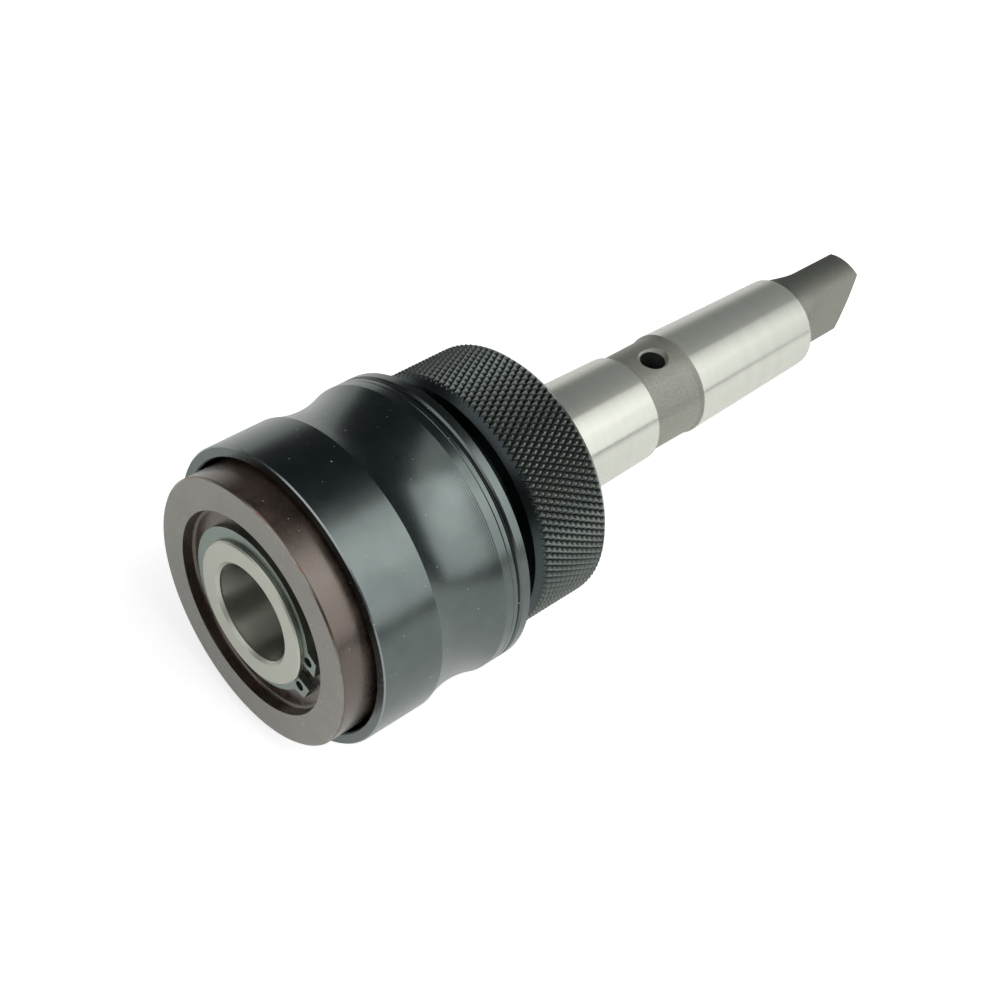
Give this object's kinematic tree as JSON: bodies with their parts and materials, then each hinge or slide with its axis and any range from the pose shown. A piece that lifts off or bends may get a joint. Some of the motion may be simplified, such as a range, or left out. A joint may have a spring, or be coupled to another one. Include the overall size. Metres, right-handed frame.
{
  "type": "quick-change cutter arbor",
  "caption": "Quick-change arbor for hole saws and annular cutters, with a sliding release sleeve, a knurled collar and a tanged taper shank.",
  "frame": {"origin": "centre of the socket's mouth on the nose face", "axes": "+X along the tool axis from the nose to the tang, +Z towards the coolant port, and the two flats of the tang face +Y and -Y"},
  "size_m": [0.1615, 0.0584, 0.0584],
  "materials": {
    "ground_steel": "ground alloy steel, satin",
    "brown_oxide": "browned turned steel",
    "black_oxide": "blackened turned steel",
    "spring_steel": "oiled spring steel",
    "hard_steel": "hardened ground steel",
    "bronze_bush": "sintered bronze",
    "seal_rubber": "nitrile rubber, matt"
  },
  "bodies": {
    "arbor": {"arbor_body": "ground_steel", "front_ring": "brown_oxide", "nose_circlip": "spring_steel", "front_wiper_ring": "seal_rubber", "socket_seal_ring": "seal_rubber", "spring_seat_washer": "spring_steel", "knurled_collar": "black_oxide", "collar_key": "hard_steel", "collar_circlip": "spring_steel", "plunger_bush": "bronze_bush", "bush_snap_ring": "spring_steel", "return_spring": "spring_steel", "ejector_spring": "spring_steel"},
    "sleeve": {"release_sleeve": "black_oxide", "sleeve_end_ring": "black_oxide", "cam_ring": "hard_steel", "cam_ring_snap_wire": "spring_steel", "wire_snap_ring": "spring_steel", "guide_pins": "hard_steel"},
    "key_1": {"lock_key_1": "hard_steel"},
    "key_2": {"lock_key_2": "hard_steel"},
    "plunger": {"ejector_plunger": "hard_steel", "plunger_seal_ring": "seal_rubber"}
  },
  "joints": [
    {"name": "sleeve_slide", "type": "slide", "parent": "arbor", "child": "sleeve", "axis": [1, 0, 0], "range_m": [0, 0.005], "stiffness_N_per_m": 3000, "springref_m": -0.006, "deforming": ["return_spring"]},
    {"name": "lock_key_1_slide", "type": "slide", "parent": "arbor", "child": "key_1", "axis": [0, 0, 1], "range_m": [0, 0.0013]},
    {"name": "lock_key_2_slide", "type": "slide", "parent": "arbor", "child": "key_2", "axis": [0, -1, 0], "range_m": [0, 0.0013]},
    {"name": "plunger_slide", "type": "slide", "parent": "arbor", "child": "plunger", "axis": [1, 0, 0], "range_m": [0, 0.008], "stiffness_N_per_m": 400, "springref_m": -0.004, "deforming": ["ejector_spring"]}
  ],
  "couplings": [
    {"joint": "lock_key_1_slide", "follows": "sleeve_slide", "ratio": 0.26},
    {"joint": "lock_key_2_slide", "follows": "sleeve_slide", "ratio": 0.26}
  ]
}
